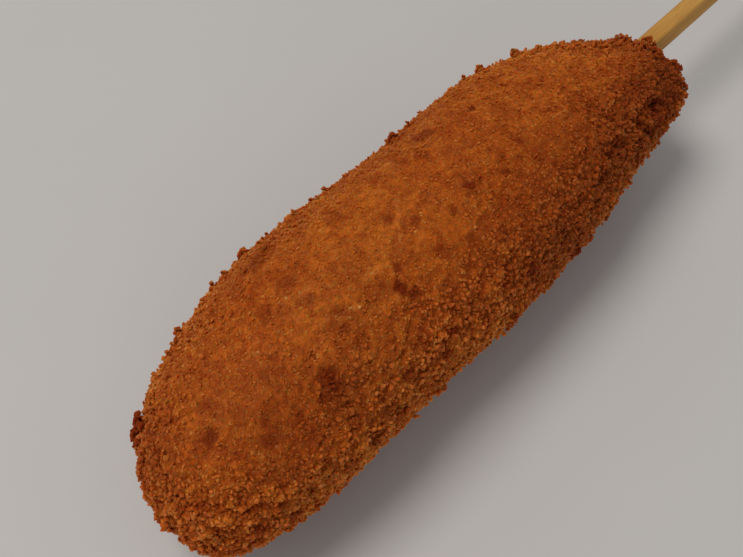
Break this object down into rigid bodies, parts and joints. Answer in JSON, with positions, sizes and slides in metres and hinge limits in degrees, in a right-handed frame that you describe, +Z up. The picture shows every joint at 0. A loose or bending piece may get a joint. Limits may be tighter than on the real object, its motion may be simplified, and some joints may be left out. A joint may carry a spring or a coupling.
{
  "type": "corn dog",
  "caption": "Crumbed corn dog lying on its side: browned batter and coarse crumbs round a sausage, with a square wooden stick to hold it by.",
  "frame": {"origin": "middle of the small flat spot on the underside that the crust rests on", "axes": "+X along the body from its blunt tip towards the stick, +Z up"},
  "size_m": [0.236, 0.0487, 0.0487],
  "materials": {
    "crust": "rough, deep golden brown fried crumbs with darker toasted spots",
    "stick": "planed pale bamboo with a fine lengthwise grain"
  },
  "bodies": {
    "root": {"crumbed_body": "crust", "stick": "stick"}
  },
  "joints": []
}
